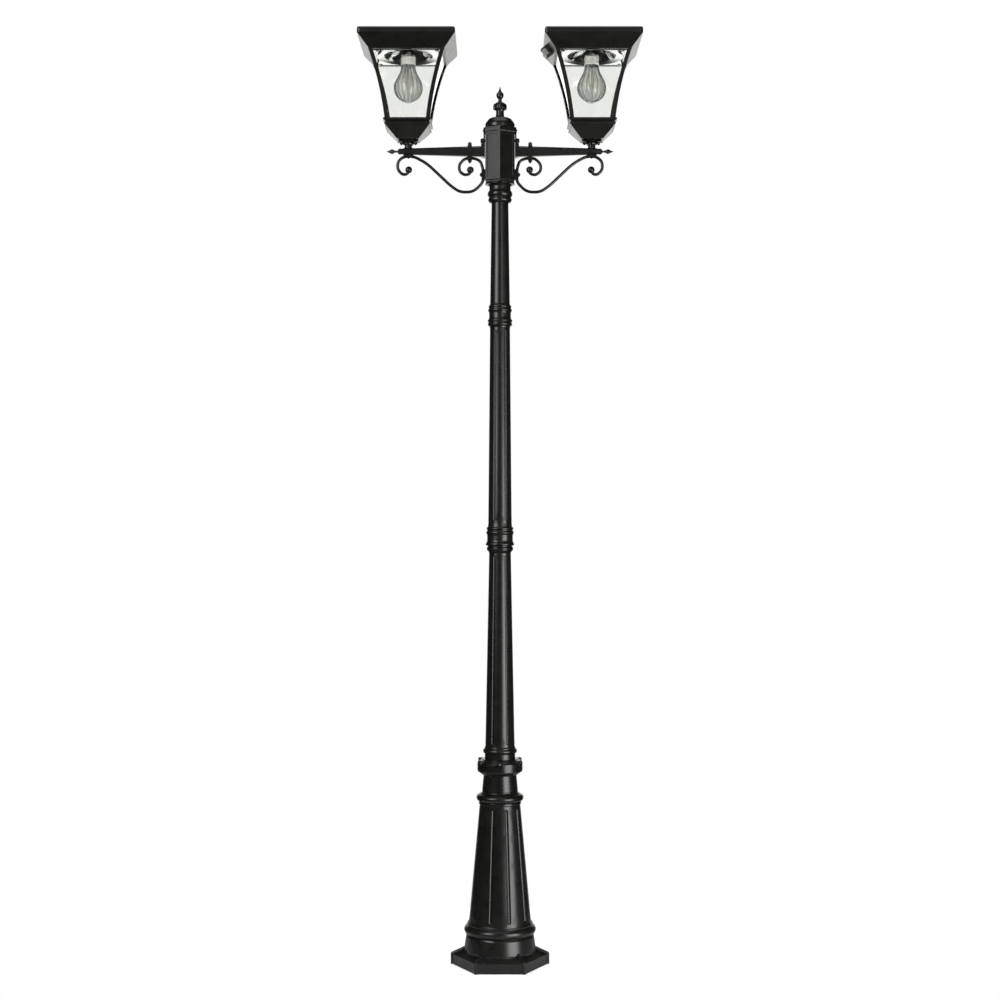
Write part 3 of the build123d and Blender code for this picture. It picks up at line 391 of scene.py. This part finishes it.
def spun(name, outline, steps, cap_first=True, cap_last=True):
    """Shell round the Z axis: a circle drawn on from ring to ring. The outline is (radius, height) in mm."""
    radius, height = outline[0]
    bpy.ops.mesh.primitive_circle_add(vertices=steps, radius=radius * MM, location=(0, 0, height * MM),
                                      fill_type="NGON" if cap_first else "NOTHING")
    piece = bpy.context.object
    bpy.ops.object.transform_apply(location=True, rotation=True, scale=True)
    open_piece(piece, name)
    pick(piece, "EDGE", lambda edge: True)
    for ring_radius, ring_height in outline[1:]:
        bpy.ops.mesh.extrude_edges_move()
        bpy.ops.transform.translate(value=(0, 0, (ring_height - height) * MM))
        factor = ring_radius / radius
        bpy.ops.transform.resize(value=(factor, factor, 1), center_override=(0, 0, ring_height * MM))
        radius, height = ring_radius, ring_height
    if cap_last:
        bpy.ops.mesh.edge_face_add()
    close_piece()
    return piece


def close_tube(piece):
    """Joins the two open ends of a turned shell, which gives it its bore."""
    open_piece(piece)
    pick(piece, "EDGE", lambda edge: edge.is_boundary)
    bpy.ops.mesh.bridge_edge_loops()
    close_piece()


def gather(pieces, name):
    """Joins pieces into one mesh."""
    bpy.ops.object.select_all(action="DESELECT")
    for piece in pieces:
        piece.select_set(True)
    bpy.context.view_layer.objects.active = pieces[0]
    bpy.ops.object.join()
    pieces[0].name = name
    return pieces[0]


def copy_of(piece, matrix):
    """Copy with its own mesh, moved by a matrix."""
    twin = piece.copy()
    twin.data = piece.data.copy()
    twin.data.transform(matrix)
    bpy.context.scene.collection.objects.link(twin)
    return twin


def round_copies(piece, count, first=0.0):
    """Copies of a piece evenly round the Z axis; the piece itself goes."""
    copies = []
    for index in range(count):
        turn = math.radians(first + 360.0 * index / count)
        copies.append(copy_of(piece, Matrix.Rotation(turn, 4, "Z")))
    bpy.data.objects.remove(piece)
    return copies


def fit_lanterns(piece, kind, body, node=None):
    """Fits a piece made on the Z axis to both lanterns, on its body and for its CAD node."""
    for side in SIDES:
        low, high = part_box(side + "_stem")
        place = Matrix.Translation(((low.x + high.x) / 2, 0, 0))
        fitted = copy_of(piece, place @ Matrix.Rotation(LANTERN_TURN[side], 4, "Z"))
        fitted.name = f"{side}_{kind}"
        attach(fitted, f"{side}_{body}")
        if node:
            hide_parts(f"{side}_{node}")
    bpy.data.objects.remove(piece)


def level_of(node, end):
    """Lowest (0) or highest (1) height of a CAD node, in mm."""
    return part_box(node)[end].z / MM


# ---------------------------------------------------------------- bulb
BULB_RIBS = 16
RIB_STEPS = 5           # segments of the bulb to each flute
BULB_NECK = 17.2
BULB_WALL = 1.2
FLUTE_SCALE = 0.965     # radius at the bottom of a flute over the radius beside it
FILAMENTS = 4
FILAMENT_RADIUS = 9     # from the bulb's axis


def make_bulb():
    """Ribbed bulb: drawn up ring by ring from a dimple, fluted, then given its wall."""
    low, high = level_of("right_bulb_glass", 0), level_of("right_bulb_glass", 1)
    belly = (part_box("right_bulb_glass")[1].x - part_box("right_bulb_glass")[0].x) / 2 / MM
    neck, middle, shoulder = BULB_NECK, low + belly + 1, high - 6
    outline = [(2.5, low + 2.0), (6.0, low + 1.5), (8.5, low + 0.7), (10.5, low + 1.0)]
    for step in range(5, 19):
        angle = math.radians(90 * (1 - step / 18))
        outline.append((belly * math.cos(angle), middle - (middle - low) * math.sin(angle)))
    for step in range(1, 15):
        share = step / 14
        bulge = (0.5 + 0.5 * math.cos(math.pi * share)) ** 1.2
        outline.append((neck + (belly - neck) * bulge, middle + (shoulder - middle) * share))
    outline.append((neck, high))
    piece = spun("bulb", outline, RIB_STEPS * BULB_RIBS, True, False)
    open_piece(piece)
    step = 2 * math.pi / BULB_RIBS

    def on_groove(vert):
        turn = math.atan2(vert.co.y, vert.co.x) / step
        return abs(turn - round(turn)) < 0.1 and vert.co.z > (low + 3) * MM and vert.co.z < (high - 5) * MM

    pick(piece, "VERT", on_groove)
    bpy.ops.transform.resize(value=(FLUTE_SCALE, FLUTE_SCALE, 1), center_override=(0, 0, 0))
    grooves = bmesh.from_edit_mesh(piece.data)
    # Flute faces get the second finish: frosted, and tinted darker as painted shade in the grooves.
    for face in grooves.faces:
        face.material_index = 1 if any(vert.select for vert in face.verts) else 0
    bmesh.update_edit_mesh(piece.data)
    close_piece()
    finish_modifiers(piece, [("SOLIDIFY", {"thickness": BULB_WALL * MM, "offset": -1.0})])
    smooth(piece, 60)
    piece.data.materials.append(smoked_bulb("smoked_blown_polycarbonate", "f1f2ef", "f8f8f5", 0.06))
    # Flute finish: the frosting is real, and its darker tint is painted shade along the grooves.
    piece.data.materials.append(smoked_bulb("frosted_flutes_with_painted_shade", "d4d6d2", "dfe1dd", 0.26))
    fit_lanterns(piece, "ribbed_bulb", "bulb", "bulb_glass")
    ring = spun("ring", [(17.3, high - 7), (18.0, high - 6.5), (18.0, high - 4.6), (17.6, high - 4.2),
                         (17.6, high - 3.6), (18.0, high - 3.2), (18.0, high - 0.8), (17.3, high - 0.2)], 64,
                False, False)
    close_tube(ring)
    smooth(ring)
    ring.data.materials.append(moulded("white_pbt_ring", "f0efea", "f7f6f2", 0.3, 1.2))
    fit_lanterns(ring, "collar_ring", "bulb")


def make_filaments():
    """Drawn glass stem with its flare, four phosphor filaments and their wires."""
    low, high = level_of("right_led_core", 0), level_of("right_led_core", 1)
    stem = spun("stem", [(1.4, low), (2.2, low + 2), (2.6, low + 5), (2.6, high - 16), (4.2, high - 8),
                         (7.5, high - 3), (10.8, high)], 32)
    smooth(stem, 50)
    stem.data.materials.append(stem_glass())
    fit_lanterns(stem, "lamp_stem", "bulb")
    stick = spun("stick", [(0.4, low + 6), (0.9, low + 6.6), (1.0, low + 9), (1.0, low + 41),
                           (0.9, low + 43.4), (0.4, low + 44)], 12)
    stick.data.transform(Matrix.Translation((FILAMENT_RADIUS * MM, 0, 0)))
    sticks = gather(round_copies(stick, FILAMENTS, 45), "sticks")
    smooth(sticks)
    sticks.data.materials.append(moulded("silicone_phosphor", "ece3bf", "f3ecce", 0.5, 1.0))
    fit_lanterns(sticks, "filaments", "bulb", "led_core")
    wires = []
    for height in (low + 6.3, low + 43.7):
        wire = spun("wire", [(0.3, 2.0), (0.35, 2.3), (0.35, 8.6), (0.3, 8.9)], 8)
        upright = Matrix.Rotation(math.radians(90), 4, "Y")
        wire.data.transform(Matrix.Translation((0, 0, height * MM)) @ upright)
        wires += round_copies(wire, FILAMENTS, 45)
    wires = gather(wires, "wires")
    smooth(wires)
    wires.data.materials.append(zinc_steel())
    fit_lanterns(wires, "filament_wires", "bulb")


# ---------------------------------------------------------------- solar panel
CELL_CUTS = 9           # ten cells along each side
CELL_GAP = 0.6          # backing film seen round each cell
CELL_DROP = 0.5         # cells below the frame's top
FRAME_WIDTH = 3
RECESS_SLOPE = 0.4
RECESS_DEPTH = 1.5


def make_solar_panel():
    """Laminate with a raised edge: the pane is sunk, cut into cells and each cell is inset."""
    low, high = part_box("right_solar_panel")
    size = high - low
    bpy.ops.mesh.primitive_cube_add(size=1, location=(0, 0, (low.z + high.z) / 2))
    piece = bpy.context.object
    piece.scale = size
    bpy.ops.object.transform_apply(location=True, rotation=True, scale=True)
    open_piece(piece, "solar_panel_piece")
    top = high.z
    pick(piece, "EDGE", lambda edge: abs(edge.verts[0].co.z - edge.verts[1].co.z) > 0.002)
    bpy.ops.mesh.bevel(offset=2.5 * MM, segments=4, affect="EDGES")
    pick(piece, "FACE", lambda face: face.normal.z > 0.9)
    bpy.ops.mesh.inset(thickness=FRAME_WIDTH * MM)
    bpy.ops.mesh.inset(thickness=RECESS_SLOPE * MM, depth=-RECESS_DEPTH * MM)
    close_piece()
    edge = piece.dimensions.x / 2 - (FRAME_WIDTH + RECESS_SLOPE) * MM
    bpy.ops.mesh.primitive_plane_add(size=1, location=(0, 0, top - CELL_DROP * MM))
    sheet = bpy.context.object
    sheet.scale = (2 * edge + 0.6 * MM, 2 * edge + 0.6 * MM, 1)
    bpy.ops.object.transform_apply(location=True, rotation=True, scale=True)
    open_piece(sheet, "cells")
    pick(sheet, "FACE", lambda face: True)
    bpy.ops.mesh.subdivide(number_cuts=CELL_CUTS)
    bpy.ops.mesh.inset(use_individual=True, thickness=CELL_GAP * MM)
    chosen = bmesh.from_edit_mesh(sheet.data)
    for face in chosen.faces:
        face.material_index = 1 if face.select else 0
    bmesh.update_edit_mesh(sheet.data)
    bpy.ops.mesh.bevel(offset=1.6 * MM, segments=1, affect="VERTICES")
    bpy.ops.object.mode_set(mode="OBJECT")
    finish_modifiers(sheet, [("SOLIDIFY", {"thickness": 1.0 * MM, "offset": -1.0})])
    finish_modifiers(piece, [("BEVEL", {"width": 0.4 * MM, "segments": 2, "limit_method": "ANGLE"})])
    smooth(piece)
    piece.data.materials.append(moulded("anodised_black_frame", "101011", "161617", 0.35, 1.5))
    sheet.data.materials.append(moulded("black_backing_film", "07080b", "0c0d11", 0.2, 4.0))
    sheet.data.materials.append(solar_cell())
    fit_lanterns(piece, "panel_frame", "roof_lid", "solar_panel")
    fit_lanterns(sheet, "panel_cells", "roof_lid", None)


# ---------------------------------------------------------------- petals under the hopper
PETALS = 8
LEAF_WIDTHS = (0.62, 0.92, 1.0, 0.86, 0.56, 0.14)   # of the full width, from root to tip
LEAF_THICK = 1.3
MIDRIB_DROP = 0.9


def make_petal(path, width):
    """One leaf: a grid whose rows follow a path of (radius, height), then thickened and smoothed."""
    bpy.ops.mesh.primitive_grid_add(x_subdivisions=len(path) - 1, y_subdivisions=4, size=1)
    piece = bpy.context.object
    open_piece(piece, "petal")
    rows = len(path) - 1
    for index in range(len(path)):
        start = -0.5 + index / rows
        pick(piece, "VERT", lambda vert: abs(vert.co.x - start) < 0.01 and abs(vert.co.z) < 1e-6)
        bpy.ops.transform.resize(value=(1, width * LEAF_WIDTHS[index] * MM, 1), center_override=(start, 0, 0))
        bpy.ops.transform.translate(value=(0, 0, 10))
    for index, (radius, height) in enumerate(path):
        start = -0.5 + index / rows
        pick(piece, "VERT", lambda vert: abs(vert.co.x - start) < 0.01 and vert.co.z > 5)
        bpy.ops.transform.translate(value=(radius * MM - start, 0, height * MM - 10))
    pick(piece, "VERT", lambda vert: abs(vert.co.y) < 1e-5)
    bpy.ops.transform.translate(value=(0, 0, -MIDRIB_DROP * MM))
    close_piece()
    finish_modifiers(piece, [("SOLIDIFY", {"thickness": LEAF_THICK * MM, "offset": 1.0}),
                             ("SUBSURF", {"levels": 2, "render_levels": 2})])
    return piece


def make_petals():
    """Two tiers of cast leaves on a turned cup."""
    low, high = level_of("right_petal_cup", 0), level_of("right_petal_cup", 1)
    outer = [(11, high - 1.9), (16, high - 2.3), (20, high - 3.2), (23.2, high - 4.7),
             (25.4, high - 6.2), (26.4, high - 5.2)]
    inner = [(10.5, high - 4), (13.5, high - 5), (16, high - 6.6), (18, high - 8.4),
             (19.4, high - 9.6), (20.3, high - 8.8)]
    leaves = round_copies(make_petal(outer, 17), PETALS)
    leaves += round_copies(make_petal(inner, 12.5), PETALS, 180 / PETALS)
    cup = spun("cup", [(9.8, high), (9.8, low + 0.4), (10.6, low), (12, low + 0.3), (12.8, low + 2),
                       (13.4, high - 4), (17, high - 2.4), (23, high - 1.6), (24.6, high - 0.6),
                       (24.6, high)], 64, False, False)
    close_tube(cup)
    piece = gather([cup] + leaves, "petals")
    smooth(piece, 40)
    piece.data.materials.append(COAT)
    fit_lanterns(piece, "petals", "head", "petal_cup")


# ---------------------------------------------------------------- edge of the reflector
SKIRT_DROP = 9.0        # from the top of the cage's lip to the bead's lower edge
SKIRT_ROLL = 0.8
SKIRT_WALL = 0.7


def make_reflector_skirt():
    """Thin rolled bead round the edge of the reflector's plate, 1.5 mm high, with rounded corners."""
    low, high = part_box("right_reflector")
    half = (high.x - low.x) / 2 - 0.1 * MM
    top = low.z + 0.2 * MM
    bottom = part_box("right_cage")[1].z - SKIRT_DROP * MM
    bpy.ops.mesh.primitive_plane_add(size=2, location=(0, 0, top))
    piece = bpy.context.object
    piece.scale = (half, half, 1)
    bpy.ops.object.transform_apply(location=True, rotation=True, scale=True)
    open_piece(piece, "skirt")
    pick(piece, "VERT", lambda vert: True)
    bpy.ops.mesh.bevel(offset=3 * MM, segments=4, affect="VERTICES")
    pick(piece, "FACE", lambda face: True)
    bpy.ops.mesh.delete(type="ONLY_FACE")
    pick(piece, "EDGE", lambda edge: True)
    bpy.ops.mesh.extrude_edges_move()
    bpy.ops.transform.translate(value=(0, 0, bottom + SKIRT_ROLL * MM - top))
    bpy.ops.mesh.extrude_edges_move()
    bpy.ops.transform.translate(value=(0, 0, -SKIRT_ROLL * MM))
    bpy.ops.transform.resize(value=(0.985, 0.985, 1), center_override=(0, 0, bottom))
    bpy.ops.mesh.extrude_edges_move()
    bpy.ops.transform.resize(value=(0.97, 0.97, 1), center_override=(0, 0, bottom))
    close_piece()
    finish_modifiers(piece, [("SOLIDIFY", {"thickness": SKIRT_WALL * MM, "offset": -1.0})])
    smooth(piece, 50)
    piece.data.materials.append(metallised())
    fit_lanterns(piece, "reflector_skirt", "roof_lid", None)


# ---------------------------------------------------------------- screws of the roof
REFLECTOR_SCREW_OFFSET = 70.0
SET_SCREW_OFFSET = 55.0
SET_SCREW_TIP = 83.0


def make_roof_screws():
    """Pan-head screws with a star recess that hold the reflector, and the two set screws of the roof.

    Open fault: the CAD has the set screws at the back and pointing out, and these are inside the front wall.
    """
    low, high = level_of("right_roof_screws", 0), level_of("right_reflector", 0)
    top = high + 12
    screw = spun("screw", [(0.8, low + 1.4), (1.3, low + 1.3), (1.6, low + 0.1), (2.6, low), (3.6, low + 0.6),
                           (4.0, low + 1.5), (4.0, high), (1.45, high), (1.45, top), (0.9, top + 0.8)], 24)
    open_piece(screw)
    recess = (low + 1.35) * MM

    def on_star(vert):
        turn = math.atan2(vert.co.y, vert.co.x) / math.radians(30)
        close = math.hypot(vert.co.x, vert.co.y) < 1.35 * MM and vert.co.z < recess + 0.1 * MM
        return close and abs(turn - round(turn)) < 0.1 and round(turn) % 2 == 0

    pick(screw, "VERT", on_star)
    bpy.ops.transform.resize(value=(0.75, 0.75, 1), center_override=(0, 0, 0))
    close_piece()
    screws = []
    offset = REFLECTOR_SCREW_OFFSET * MM
    for x in (-offset, offset):
        for y in (-offset, offset):
            screws.append(copy_of(screw, Matrix.Translation((x, y, 0))))
    bpy.data.objects.remove(screw)
    set_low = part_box("right_roof")[0].z / MM + 3.6
    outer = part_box("right_roof_screws")[0].y / MM
    tip = SET_SCREW_TIP
    grub = spun("grub", [(0.7, tip), (1.45, tip + 0.6), (1.45, -outer - 0.4), (1.15, -outer),
                         (0.75, -outer), (0.7, -outer - 1.2)], 24)
    for x in (-SET_SCREW_OFFSET * MM, SET_SCREW_OFFSET * MM):
        place = Matrix.Translation((x, 0, set_low * MM)) @ Matrix.Rotation(math.radians(90), 4, "X")
        screws.append(copy_of(grub, place))
    bpy.data.objects.remove(grub)
    piece = gather(screws, "screws")
    smooth(piece)
    piece.data.materials.append(zinc_steel())
    fit_lanterns(piece, "roof_fixings", "roof_lid", "roof_screws")


# ---------------------------------------------------------------- finishes of the CAD nodes
COAT = powder_coat()
CAD_FINISHES = {
    "panes": pane_glass(),
    "reflector": metallised(),
    "socket": metallised(),
    "bulb_base": collar_and_cap(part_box("right_cage")[1].z - 6 * MM),
    "battery": moulded("shrunk_pvc_wrap", "2f6f9e", "3a7dab", 0.3, 2.5),
    "control_board": moulded("solder_masked_laminate", "1d5a38", "256b45", 0.35, 1.8),
    "switch_housing": moulded("moulded_black_nylon", "191919", "222222", 0.45, 1.0),
    "switch_button": moulded("moulded_grey_rubber", "6f716f", "7b7d7b", 0.6, 1.0),
}
STEEL_NODES = ("lock_ring_screws", "stem_nut", "joint_sleeves")


def dress_cad_nodes():
    """Gives every CAD node that still shows the finish of its real part."""
    steel = zinc_steel()
    for name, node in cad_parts.items():
        kind = name.removeprefix("left_").removeprefix("right_")
        finish = CAD_FINISHES.get(kind, steel if kind in STEEL_NODES else COAT)
        node.data.materials.clear()
        node.data.materials.append(finish)


bpy.context.scene.view_settings.view_transform = "Standard"
bpy.ops.object.select_all(action="DESELECT")
make_camera()
make_world()
make_lights()
make_floor()
dress_cad_nodes()
make_bulb()
make_filaments()
make_solar_panel()
make_petals()
make_reflector_skirt()
make_roof_screws()
